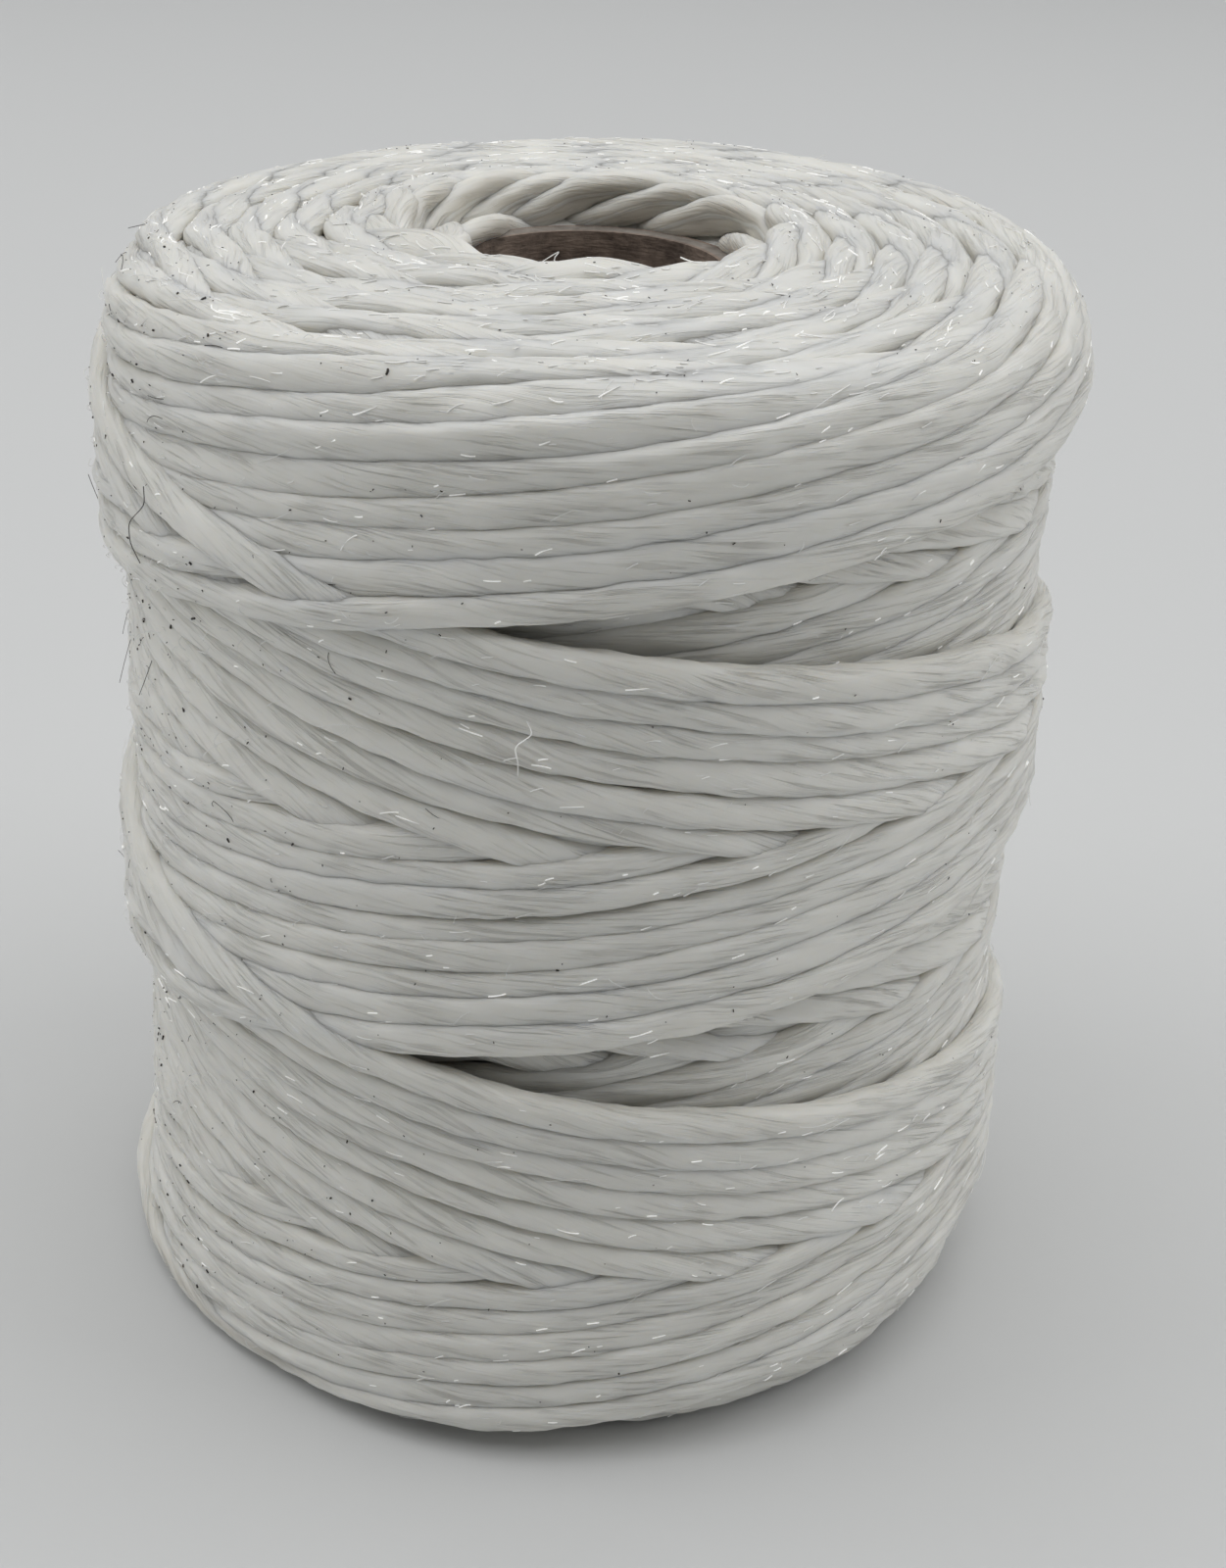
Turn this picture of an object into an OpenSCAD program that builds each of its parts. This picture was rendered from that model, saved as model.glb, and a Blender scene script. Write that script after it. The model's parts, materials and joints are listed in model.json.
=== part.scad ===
// Waxed thread spool: a cross-wound package of flat waxed thread on a spiral paper core.
// Z runs along the bore. The package stands on z = 0 with the bore on the Z axis.

/* [Package] */
// Outer diameter over the crossings of the thread
package_d = 72; // [70:1:76]
// Height over both crowned ends
package_h = 84; // [82:1:92]
// Drop of each end from its crest near the bore to its shoulder
crown_drop = 1.3; // [1:0.1:3]
// Radius of the shoulders
shoulder_r = 4; // [3:0.5:5]

/* [Core tube] */
// Bore of the core
core_bore_d = 19; // [16:0.5:20]
// Depth of the core's top rim below the crest of the package
core_recess = 3; // [3:0.5:8]
// How much deeper the bottom rim lies than the top one
core_drop = 2; // [0:0.5:3]
// Thickness of the smooth paper that lines the bore
liner_t = 0.3; // [0.2:0.05:0.4]
// Thickness of each ply of grey board
board_t = 0.37; // [0.3:0.01:0.45]
// Thickness of the paper wrapped round the board
cover_t = 0.29; // [0.2:0.01:0.4]

/* [Thread] */
// Width of the flattened thread
thread_w = 2.1; // [1.9:0.05:2.2]
// Thickness of the flattened thread
thread_t = 0.9; // [0.8:0.05:1.1]
// Axial travel of the traverse in one turn of the package
lead = 32; // [31:0.5:33]
// Turns of the visible outer layer on the side
side_turns = 24; // [10:1:24]
// Turns of the visible spiral on each end
face_turns = 4; // [2:1:4]
// Angle at which the outer layer starts
start_angle = 106; // [0:1:360]

/* [Hidden] */
paper_brown = "#6e6258";
board_grey = "#8f8578";
waxed_white = "#e6e6e2";
inner_white = "#d4d4d0";

mid_z = package_h / 2;
core_foot = core_recess + core_drop;
core_len = package_h - core_recess - core_foot;
bore_r = core_bore_d / 2;
board_r = bore_r + liner_t;
board_plies = 3;
cover_r = board_r + board_plies * board_t;
core_r = cover_r + cover_t;

// Air between the hidden layers and what lies on them, and where two passes cross
skin_gap = 0.05;
hop_gap = 0.75;
side_gap = 0.5;

// The winding's drum: rising passes lie on it, falling passes hop over them
rings_per_turn = 24;
ring_angle = 360 / rings_per_turn;
tube_sides = 6;
rings_per_pass = 61; // two passes are 5 turns and 2 rings, so each pass lands beside the last of its kind
ring_rise = lead / rings_per_turn;
traverse = rings_per_pass * ring_rise;
hop = thread_t + hop_gap;
line_r = package_d / 2 - thread_t / 2 - hop;
chord_sag = line_r * (1 - cos(ring_angle / 2));
body_r = line_r - chord_sag - thread_t / 2 - skin_gap;

// Outline of each face: a flared lip round the core, a flat crest one turn wide, a slope to the shoulder
lip_w = 2.2;
lip_r = 1.9;
lip_start = 165;
crest_r = core_r + lip_w;
face_z = package_h - thread_t - skin_gap;
side_half = face_z - crown_drop - shoulder_r - mid_z;
bend_r = shoulder_r + line_r - body_r;
face_pitch = (line_r - bend_r - thread_w - crest_r) / face_turns;
slope_r = crest_r + face_pitch;
face_slope = atan2(crown_drop, body_r - shoulder_r - slope_r);

// Outline of the side winding's centre line: a straight side, then a bend over each shoulder
function bend_angle(u) = max(0, abs(u) - side_half) / bend_r * 180 / PI;
function line_point(u, lift) =
    let (a = bend_angle(u), r = bend_r + lift)
    [line_r - bend_r + r * cos(a), mid_z + sign(u) * (min(abs(u), side_half) + r * sin(a))];
function line_normal(u) = [cos(bend_angle(u)), sign(u) * sin(bend_angle(u))];

// Traverse position of ring i: a triangle wave, rising on even passes and falling on odd ones
function pass_of(i) = floor(i / rings_per_pass);
function rising(i) = pass_of(i) % 2 == 0;
function at_turnaround(i) = i % rings_per_pass == 0;
function pass_share(i) = i / rings_per_pass - pass_of(i);
function traverse_u(i) = traverse * (rising(i) ? pass_share(i) - 0.5 : 0.5 - pass_share(i));

// Lift of ring i: a falling ring hops wherever a rising pass runs under it or close by
last_ring = side_turns * rings_per_turn;
hop_near = thread_w + side_gap + 2 * ring_rise;
hop_far = hop_near + 2 * ring_rise;
function nearest_rising(i) = min([
    for (j = [i % rings_per_turn : rings_per_turn : last_ring])
        (rising(j) || at_turnaround(j)) && j != i ? abs(traverse_u(i) - traverse_u(j)) : package_h
]);
function hop_share(i) = max(0, min(1, (hop_far - nearest_rising(i)) / (hop_far - hop_near)));
function lift_of(i) =
    at_turnaround(i) ? (i == 0 ? 0 : hop / 2) : rising(i) ? 0 : hop * hop_share(i);

// A ring's centre and outward normal, from its place [r, z] in the outline and its angle
function ring(point, normal, a) = [
    [point[0] * cos(a), point[0] * sin(a), point[1]],
    [normal[0] * cos(a), normal[0] * sin(a), normal[1]]
];
side_rings = [
    for (i = [0 : last_ring])
        let (u = traverse_u(i))
        ring(line_point(u, lift_of(i)), line_normal(u), start_angle + i * ring_angle)
];

// Rings of the spiral on the top face: its first turn rests on the crest, the others on the slope
face_rings_per_turn = 21;
function face_normal(r) = r < slope_r ? [0, 1] : [sin(face_slope), cos(face_slope)];
function face_height(r) = face_z - max(0, r - slope_r) * tan(face_slope);
face_rings = [
    for (i = [0 : face_turns * face_rings_per_turn])
        let (
            r = crest_r + face_pitch * i / face_rings_per_turn,
            n = face_normal(r),
            centre = [r, face_height(r)] + n * (thread_t / 2 + skin_gap)
        )
        ring(centre, n, start_angle + i * 360 / face_rings_per_turn)
];

// Corners of the flat oval section that the thread has at ring i of a winding
function unit(v) = v / norm(v);
function section(rings, i) =
    let (
        last = len(rings) - 1,
        along = unit(rings[min(i + 1, last)][0] - rings[max(i - 1, 0)][0]),
        out = rings[i][1],
        across = unit(cross(out, along))
    )
    [
        for (k = [0 : tube_sides - 1])
            let (a = k * 360 / tube_sides)
            rings[i][0] + across * cos(a) * thread_w / 2 + out * sin(a) / sin(60) * thread_t / 2
    ];

// One unbroken tube through every ring of a winding, in triangles
module thread_tube(rings) {
    last = len(rings) - 1;
    points = [for (i = [0 : last]) for (p = section(rings, i)) p];
    walls = [
        for (i = [0 : last - 1])
            for (k = [0 : tube_sides - 1])
                let (
                    a = i * tube_sides + k,
                    b = i * tube_sides + (k + 1) % tube_sides,
                    c = b + tube_sides,
                    d = a + tube_sides
                )
                for (face = [[a, c, b], [a, d, c]]) face
    ];
    end_start = last * tube_sides;
    caps = [
        for (k = [1 : tube_sides - 2])
            for (face = [[0, k, k + 1], [end_start, end_start + k + 1, end_start + k]]) face
    ];
    polyhedron(points, concat(walls, caps), convexity = 12);
}

// Least gap between two turns of the side winding, sampled four times a ring
samples = [for (q = [0 : 0.25 : rings_per_turn - 0.25]) q];
function between(a, b, f) = a + (b - a) * f;
function line_at(x) =
    let (i = floor(x), f = x - i)
    [between(traverse_u(i), traverse_u(i + 1), f), between(lift_of(i), lift_of(i + 1), f)];
function corner(k) = [cos(k * 60) * thread_w / 2, sin(k * 60) / sin(60) * thread_t / 2];
function reach(n) = max([for (k = [0 : tube_sides - 1]) corner(k) * n]);
function gap_between(d) = max([
    for (a = [0 : 15 : 345])
        let (n = [cos(a), sin(a)])
        d * n - 2 * reach(n)
]);
function least_side_gap() = min([
    for (q = samples)
        let (lines = [for (x = [q : rings_per_turn : last_ring - 1]) line_at(x)])
        for (m = [0 : len(lines) - 2])
            for (n = [m + 1 : len(lines) - 1])
                let (d = lines[m] - lines[n])
                abs(d[0]) < 2 * thread_w ? gap_between(d) : package_h
]);
echo(least_gap_side = least_side_gap());
echo(least_gap_face = face_pitch - thread_w);

// One ply of the core: a plain cylindrical shell over the core's length
module core_ply(inner_r, thickness, shade) {
    color(shade) translate([0, 0, core_foot]) difference() {
        cylinder(h = core_len, r = inner_r + thickness, $fn = 96);
        translate([0, 0, -1]) cylinder(h = core_len + 2, r = inner_r, $fn = 96);
    }
}

// Points of an arc in the outline of the hidden layers, from angle a0 to a1
arc_steps = 6;
function arc(c, r, a0, a1) = [
    for (i = [0 : arc_steps])
        let (a = a0 + (a1 - a0) * i / arc_steps)
        c + r * [cos(a), sin(a)]
];
function face_outline(recess) = concat(
    [[core_r, package_h - recess]],
    arc([crest_r, face_z - lip_r], lip_r, lip_start, 90),
    arc([body_r - shoulder_r, mid_z + side_half], shoulder_r, 90 - face_slope, 0)
);
upper_outline = face_outline(core_recess);
foot_outline = face_outline(core_foot);
lower_outline = [
    for (i = [len(foot_outline) - 1 : -1 : 0]) [foot_outline[i][0], package_h - foot_outline[i][1]]
];

module thread_inner_layers() {
    color(inner_white) rotate_extrude($fn = 96) polygon(concat(upper_outline, lower_outline));
}

module thread_side_turns() {
    color(waxed_white) thread_tube(side_rings);
}

module thread_top_turns() {
    color(waxed_white) thread_tube(face_rings);
}

// The bottom spiral mirrors the top one by a half turn, and is pressed flat where it stands
module thread_bottom_turns() {
    foot_flat = thread_t / 10;
    color(waxed_white) intersection() {
        translate([0, 0, package_h - foot_flat]) rotate([180, 0, 0]) thread_tube(face_rings);
        translate([-package_d, -package_d, 0]) cube([2 * package_d, 2 * package_d, package_h]);
    }
}

core_ply(bore_r, liner_t, paper_brown);  // core_liner_ply
core_ply(board_r, board_t, board_grey);  // core_board_ply_1
core_ply(board_r + board_t, board_t, board_grey);  // core_board_ply_2
core_ply(board_r + 2 * board_t, board_t, board_grey);  // core_board_ply_3
core_ply(cover_r, cover_t, paper_brown);  // core_cover_ply
thread_inner_layers();
thread_side_turns();
thread_top_turns();
thread_bottom_turns();
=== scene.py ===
# %% [markdown]
# # A spool of waxed leatherworking thread
#
# Flat waxed thread is wound in a crossing pattern on a short paper tube. The winder turns the tube and
# moves a guide up and down beside it, so the thread lies in slanting bands that cross each other, and
# turns round at both ends. This lesson winds the thread in the same way, in numbers, and then lets
# Blender sweep a strand along every stretch that can be seen.
#
# The measured frame gives the sizes. Everything here is written in millimetres and turned into metres
# where it becomes a mesh.

import json
import math

import bmesh
import bpy
import numpy as np
from mathutils import Matrix, Vector

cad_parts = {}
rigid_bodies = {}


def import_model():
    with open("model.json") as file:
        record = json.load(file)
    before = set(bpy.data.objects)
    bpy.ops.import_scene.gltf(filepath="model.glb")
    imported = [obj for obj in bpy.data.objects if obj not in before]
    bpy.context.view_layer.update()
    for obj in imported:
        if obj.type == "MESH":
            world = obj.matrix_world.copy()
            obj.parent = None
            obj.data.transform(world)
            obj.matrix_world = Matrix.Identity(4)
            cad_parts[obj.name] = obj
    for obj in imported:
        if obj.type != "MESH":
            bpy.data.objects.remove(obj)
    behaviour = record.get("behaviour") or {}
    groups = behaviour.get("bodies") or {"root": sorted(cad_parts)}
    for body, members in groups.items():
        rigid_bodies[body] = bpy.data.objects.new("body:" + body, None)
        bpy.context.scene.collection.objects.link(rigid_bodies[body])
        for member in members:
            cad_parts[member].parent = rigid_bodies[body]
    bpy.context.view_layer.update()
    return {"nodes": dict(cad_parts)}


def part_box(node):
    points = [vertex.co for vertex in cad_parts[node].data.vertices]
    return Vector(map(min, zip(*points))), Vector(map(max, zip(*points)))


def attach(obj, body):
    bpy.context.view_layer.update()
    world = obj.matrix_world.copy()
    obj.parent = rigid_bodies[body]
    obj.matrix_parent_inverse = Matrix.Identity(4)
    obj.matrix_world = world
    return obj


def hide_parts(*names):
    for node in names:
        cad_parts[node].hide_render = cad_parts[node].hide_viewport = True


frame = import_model()
MM = 0.001

CORE_R = 11.2                     # outside of the paper tube
CORE_LOW, CORE_HIGH = 5.0, 81.0   # the tube's two ends: the winding stands past both
PACKAGE_R = 35.0                  # outside of the winding

for name, node in frame["nodes"].items():
    low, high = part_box(name)
    print(f"{name:22s} {[round(v / MM, 1) for v in low]} .. {[round(v / MM, 1) for v in high]} mm")

# %% [markdown]
# ## The camera
#
# A camera is placed by three facts: where it looks, how steeply it looks down, and how far away it is.
# The small roll is the tilt of a camera held by hand. The lens length belongs to a 36 mm sensor laid
# along the picture's long side.

# %% Camera
LOOK_AT = Vector((2.94, 0.0, 38.78)) * MM
PITCH, ROLL = math.radians(27.9), math.radians(2.2)
DISTANCE = 182.0 * MM
LENS, SENSOR = 51.75, 36.0        # mm
NEAREST, FARTHEST = 0.01, 20.0    # metres between which the camera sees

forward = Vector((0.0, math.cos(PITCH), -math.sin(PITCH)))
level_right = Vector((1.0, 0.0, 0.0))
level_up = level_right.cross(forward)
right = math.cos(ROLL) * level_right + math.sin(ROLL) * level_up
up = -math.sin(ROLL) * level_right + math.cos(ROLL) * level_up

camera_data = bpy.data.cameras.new("camera")
camera_data.lens = LENS
camera_data.sensor_width = SENSOR
camera_data.clip_start, camera_data.clip_end = NEAREST, FARTHEST
camera = bpy.data.objects.new("camera", camera_data)
bpy.context.scene.collection.objects.link(camera)
turn = Matrix((right, up, -forward)).transposed().to_4x4()
camera.matrix_world = Matrix.Translation(LOOK_AT - forward * DISTANCE) @ turn
bpy.context.scene.camera = camera
bpy.context.scene.view_settings.view_transform = "Standard"
print("camera at", [round(v / MM, 1) for v in camera.location], "mm")

# %% [markdown]
# ## Helpers for node trees
#
# Geometry Nodes and shader nodes are built by the same small functions. `put` adds a node, sets its
# properties, and fills its inputs with plain values or links. An input is named by its label, or by its
# place among the inputs that the node shows.

# %% Node helpers
def shown(sockets):
    return [s for s in sockets if s.enabled]


def feed(tree, socket, value):
    """Links a node or an output to this input, or sets a plain value on it."""
    if isinstance(value, bpy.types.Node):
        value = shown(value.outputs)[0]
    if isinstance(value, bpy.types.NodeSocket):
        tree.links.new(value, socket)
    else:
        socket.default_value = value


def put(tree, kind, inputs=None, **settings):
    node = tree.nodes.new(kind)
    for key, value in settings.items():
        setattr(node, key, value)
    for key, value in (inputs or {}).items():
        live = shown(node.inputs)
        socket = live[key] if isinstance(key, int) else next(s for s in live if s.name == key)
        feed(tree, socket, value)
    return node


def pick(node, label):
    return next(s for s in node.outputs if s.enabled and s.name == label)


def new_group(name, tree_kind, ins, outs):
    """A node group with its input and output nodes. ins and outs: (name, socket type, default)."""
    tree = bpy.data.node_groups.new(name, tree_kind)
    for direction, rows in (("INPUT", ins), ("OUTPUT", outs)):
        for label, kind, default in rows:
            socket = tree.interface.new_socket(label, in_out=direction, socket_type="NodeSocket" + kind)
            if default is not None:
                socket.default_value = default
    return tree, tree.nodes.new("NodeGroupInput"), tree.nodes.new("NodeGroupOutput")


print("node helpers ready")

# %% [markdown]
# A pattern is a long sum of nodes. These short names keep such sums readable, and each noise says its
# scale and detail in one line.

# %% Sums and noises
def maths(tree, operation, *values, kind="ShaderNodeMath"):
    return put(tree, kind, dict(enumerate(values)), operation=operation)


def add(tree, a, b):
    return maths(tree, "ADD", a, b)


def minus(tree, a, b):
    return maths(tree, "SUBTRACT", a, b)


def times(tree, product, *factors):
    for factor in factors:
        product = maths(tree, "MULTIPLY", product, factor)
    return product


def xyz(tree, x, y, z):
    return put(tree, "ShaderNodeCombineXYZ", {"X": x, "Y": y, "Z": z})


def noise(tree, place, scale=1.0, detail=2.0, roughness=0.5, distortion=0.0):
    return put(tree, "ShaderNodeTexNoise", {
        "Vector": place, "Scale": scale, "Detail": detail, "Roughness": roughness,
        "Distortion": distortion}).outputs[0]


def map_range(tree, value, from_min, from_max, to_min=0.0, to_max=1.0):
    return put(tree, "ShaderNodeMapRange", {"Value": value, "From Min": from_min, "From Max": from_max,
                                            "To Min": to_min, "To Max": to_max})


print("sums and noises ready")

# %% [markdown]
# ## Helpers for materials and objects
#
# Every material starts empty and ends in one Principled shader. A colour ramp turns a noise into a mask,
# and a mask mixes two colours, so a finish is a short list of such steps.

# %% Material helpers
def material(name):
    mat = bpy.data.materials.new(name)
    mat.use_nodes = True
    mat.node_tree.nodes.clear()
    return mat, mat.node_tree


def surface(tree, inputs):
    """The Principled shader with these inputs, as the material's surface."""
    put(tree, "ShaderNodeOutputMaterial", {"Surface": put(tree, "ShaderNodeBsdfPrincipled", inputs)})


def object_place(tree):
    return pick(put(tree, "ShaderNodeTexCoord"), "Object")


def mix_colour(tree, factor, a, b, blend="MIX"):
    """a and b mixed. This node has hidden inputs under the same names, so they are chosen by place."""
    node = put(tree, "ShaderNodeMix", data_type="RGBA", blend_type=blend)
    for place, value in ((0, factor), (6, a), (7, b)):
        feed(tree, node.inputs[place], value)
    return node.outputs[2]


def ramp(tree, value, *stops):
    """A colour ramp of greys. stops: (position, grey)."""
    node = put(tree, "ShaderNodeValToRGB", {0: value})
    for element, (position, grey) in zip(node.color_ramp.elements, stops):
        element.position, element.color = position, (grey, grey, grey, 1.0)
    return node.outputs[0]


def add_object(name, data):
    obj = bpy.data.objects.new(name, data)
    bpy.context.scene.collection.objects.link(obj)
    return obj


print("material helpers ready")

# %% [markdown]
# ## Material: the waxed thread
#
# A waxed thread is a flat bundle of fine filaments, twisted softly and soaked in white wax. Each swept
# strand carries two numbers for the shader: `along`, the metres of thread up to here, and `across`, the
# turn round its section. From them a node group works out a pair of axes turned by the twist, one along
# the filaments and one across them, so that its patterns follow every bend of the strand. The same
# numbers could make a UV map, but two attributes say it more plainly.

# %% Shader group: axes along and across the filaments
TWIST = math.radians(-9)         # the filaments lie at this angle to the strand
MASKS = "Creases", "Lines", "Patches", "Glints", "Edge", "Height"

fil, fil_in, fil_out = new_group("twisted_filaments", "ShaderNodeTree", [("Half Girth", "Float", 3.5)],
                                 [(label, "Float", None) for label in MASKS])
along = put(fil, "ShaderNodeAttribute", attribute_name="along")
across = put(fil, "ShaderNodeAttribute", attribute_name="across")
strand_mm = times(fil, pick(along, "Fac"), 1000.0)
girth_mm = times(fil, pick(across, "Fac"), pick(fil_in, "Half Girth"))
across_mm = add(fil, times(fil, strand_mm, math.sin(TWIST)), times(fil, girth_mm, math.cos(TWIST)))
along_mm = minus(fil, times(fil, strand_mm, math.cos(TWIST)), times(fil, girth_mm, math.sin(TWIST)))
print("filament axes turned by", round(math.degrees(TWIST)), "degrees")

# %% [markdown]
# The filaments show as creases, fine lines and short glints. Each is a mask that the material uses for bump
# and gloss, and also for painted shade in the creases and lines and a painted highlight in the glints. Each
# is a noise stretched along the filaments, at its own size. Where wax covers the strand they fade, and a
# slow noise says where. The other way is a drawn texture, which would blur close up and repeat.

# %% Shader group: creases, lines and glints
def stretched_noise(across_size, along_size, detail, shift, distortion=0.0):
    """Noise in cells of this size, mm. The shift keeps two such noises apart."""
    place = xyz(fil, times(fil, across_mm, 1.0 / across_size), times(fil, along_mm, 1.0 / along_size),
                shift)
    return noise(fil, place, detail=detail, roughness=0.55, distortion=distortion)


def slow_noise(along_scale, girth_scale, shift, detail):
    """Noise in long cells that follow the strand itself and not its twist."""
    place = xyz(fil, times(fil, strand_mm, along_scale), times(fil, girth_mm, girth_scale), shift)
    return noise(fil, place, detail=detail, roughness=0.6)


bare = ramp(fil, slow_noise(0.11, 0.40, 5.0, 2.0), (0.40, 0.12), (0.60, 1.0))    # 1 where wax is thin
hollows = ramp(fil, stretched_noise(0.24, 8.0, 3.0, 3.1, 0.25), (0.38, 1.0), (0.46, 0.0))
creases = minus(fil, 1.0, times(fil, hollows, bare))
lines = add(fil, 0.5, times(fil, bare, minus(fil, stretched_noise(0.10, 5.0, 3.0, 7.7), 0.5)))
glint_cells = ramp(fil, stretched_noise(0.13, 2.4, 2.0, 11.3), (0.61, 0.0), (0.68, 1.0))
glint_areas = ramp(fil, stretched_noise(1.0, 7.0, 1.0, 17.9), (0.53, 0.0), (0.62, 1.0))
glints = times(fil, glint_cells, glint_areas)
print("creases, lines and glints made of", len(fil.nodes), "nodes")

# %% [markdown]
# Patches are places of whiter and greyer wax. The two edges of the flat strand, where it meets its
# neighbours, are where the material paints the shade of the seams, with some brown dust. The height for the
# bump is the sum of the marks, each with its own weight.

# %% Shader group: patches, edges and height
EDGE_STARTS, EDGE_FULL = 0.33, 0.52                   # turn round the section: 0.5 is the strand's edge
CREASE_RISE, LINE_RISE, GLINT_RISE = 0.75, 0.7, 0.4   # shares of the bump

patches = slow_noise(0.16, 0.5, 0.0, 4.0)
edge = map_range(fil, maths(fil, "ABSOLUTE", pick(across, "Fac")), EDGE_STARTS, EDGE_FULL)
height = add(fil, times(fil, creases, CREASE_RISE), times(fil, lines, LINE_RISE))
height = add(fil, height, times(fil, glints, GLINT_RISE))
for label, mask in zip(MASKS, (creases, lines, patches, glints, edge, height)):
    feed(fil, fil_out.inputs[label], mask)
print("filament group:", len(fil.nodes), "nodes")

# %% [markdown]
# The wax is a warm white in two tones. The marks of the group are then mixed over it one by one: painted
# shade in the creases and lines, painted shade with some dust at the edges, and a painted highlight in the
# glints. The shade marks fade where the surface faces up, so the end faces get less of them than the side.

# %% Material: colours of the waxed thread
THREAD_WHITE = (0.86, 0.853, 0.806, 1.0)
THREAD_SHADE = (0.79, 0.782, 0.732, 1.0)
CREASE_SHADE_GREY = (0.42, 0.41, 0.38, 1.0)
LINE_SHADE_GREY = (0.46, 0.45, 0.42, 1.0)
EDGE_SHADE_AND_DUST_BROWN = (0.50, 0.45, 0.36, 1.0)
GLINT_HIGHLIGHT_WHITE = (0.97, 0.97, 0.95, 1.0)

thread_mat, tt = material("waxed_thread_white")
filaments = put(tt, "ShaderNodeGroup", node_tree=fil)
patch_tone = ramp(tt, pick(filaments, "Patches"), (0.3, 0.0), (0.7, 1.0))
wax = mix_colour(tt, patch_tone, THREAD_SHADE, THREAD_WHITE)
upward = put(tt, "ShaderNodeSeparateXYZ", {0: pick(put(tt, "ShaderNodeTexCoord"), "Normal")})
shade_and_dust_weight = map_range(tt, pick(upward, "Z"), 0.25, 0.8, 1.0, 0.25)
# Painted shade: creases and fine lines turn grey, and the edges turn brown with painted seam shade and some
# dust.
for mask, amount, colour in (
        (minus(tt, 1.0, pick(filaments, "Creases")), 0.46, CREASE_SHADE_GREY),
        (ramp(tt, pick(filaments, "Lines"), (0.37, 1.0), (0.46, 0.0)), 0.26, LINE_SHADE_GREY),
        (pick(filaments, "Edge"), 0.45, EDGE_SHADE_AND_DUST_BROWN)):
    wax = mix_colour(tt, times(tt, mask, amount, shade_and_dust_weight), wax, colour)
# Painted highlight: the glints make the base colour whiter where bare filaments would mirror the lamps.
wax = mix_colour(tt, times(tt, pick(filaments, "Glints"), 0.8), wax, GLINT_HIGHLIGHT_WHITE)
print("thread colours:", len(tt.nodes), "nodes")

# %% [markdown]
# Dust sticks to wax. A Voronoi texture scatters points, and a random pick keeps one in eleven of them as
# a dark speck. Wax lets light in a little way, which subsurface scattering does. Its gloss changes with
# the fine lines and is highest in the glints.

# %% Material: specks, gloss and skin of the waxed thread
SPECK_R, SPECK_SHARE = 0.060, 0.09      # size in its cell, and how many of the cells have one
SPECK_BROWN = (0.20, 0.17, 0.14, 1.0)

specks = put(tt, "ShaderNodeTexVoronoi", {"Vector": object_place(tt), "Scale": 800.0})
chosen = put(tt, "ShaderNodeTexWhiteNoise", {"Vector": pick(specks, "Position")})
speck = times(tt, maths(tt, "LESS_THAN", pick(specks, "Distance"), SPECK_R),
              maths(tt, "LESS_THAN", pick(chosen, "Value"), SPECK_SHARE))
wax = mix_colour(tt, times(tt, speck, 0.7), wax, SPECK_BROWN)
gloss = map_range(tt, pick(filaments, "Lines"), 0.35, 0.65, 0.36, 0.58)
gloss = minus(tt, gloss, times(tt, pick(filaments, "Glints"), 0.18))
bump = put(tt, "ShaderNodeBump", {"Height": pick(filaments, "Height"), "Distance": 0.18 * MM,
                                  "Strength": 0.85})
surface(tt, {"Base Color": wax, "Roughness": gloss, "Normal": bump, "Subsurface Weight": 0.50,
             "Subsurface Radius": (1.0, 0.9, 0.75), "Subsurface Scale": 1.2 * MM,
             "Specular IOR Level": 0.45, "Sheen Weight": 0.08})
print("thread material:", len(tt.nodes), "nodes")

# %% [markdown]
# ## Winding the thread
#
# The winder has two motions that never change: the tube turns, and the guide travels from end to end and
# back in a little less than five turns. Because each double stroke stops 24 degrees short of five whole
# turns, the next one lies beside the last, and after fifteen the surface is covered once each way. The
# guide goes down a little more slowly than up.
#
# A map holds the pile of thread: half-degree steps round it, quarter-millimetre columns along it, and the
# height in each cell. A winding could also be drawn as a helix on a cylinder, but only thread laid on
# thread gives the bands, hollows and notches of a real spool.

# %% Machine settings
TURN = 720                        # map steps in one turn of the tube
LAG = 48                          # steps by which a double stroke is short of five turns
DOUBLE = 5 * TURN - LAG           # steps in a double stroke, down and up again
DOWN = DOUBLE / 1.895             # steps of the way down
UP = DOUBLE - DOWN
DOUBLE_STROKES = 104
LAST_STEPS = int(1.5 * TURN)      # the thread was cut this far into its last stroke
LAST_START = -50.3                # degrees round from the front where that stroke began
TRAVEL = 40.0                     # the guide's reach each way from the middle, mm on the map
COLUMN, MARGIN = 0.25, 6          # width of a map column, and the map's reach past the guide's, mm
HALF_W, PILE_T = 1.14, 1.70       # half the width and the thickness a strand takes on the pile
SQUARENESS = 2.6                  # 2 makes an oval section, more makes it boxier
BLEND = 40                        # steps over which one stroke hands over to the next

COLUMNS = 2 * int((TRAVEL + MARGIN) / COLUMN) + 1
FOOT = np.arange(-5, 6)           # map columns that a strand can touch
strokes = 2 * DOUBLE_STROKES
starts = [math.ceil(i // 2 * DOUBLE + i % 2 * DOWN) for i in range(strokes)]
steps = starts[-1] + LAST_STEPS
print(f"{steps} steps, about {steps / TURN * 2 * math.pi * (CORE_R + PACKAGE_R) / 2000:.0f} m of thread")

# %% [markdown]
# Two curves of a tight strand. `smooth` is a moving average with soft edges: a strand can't kink.
# `bridge` lets it span hollows, since it hangs from the high places along shallow curves.

# %% Smooth and bridge
def smooth(values, reach):
    n = int(3 * reach) + 1
    weights = np.exp(-0.5 * (np.arange(-n, n + 1) / reach) ** 2)
    return np.convolve(np.pad(values, n, mode="edge"), weights / weights.sum(), mode="valid")


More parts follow.
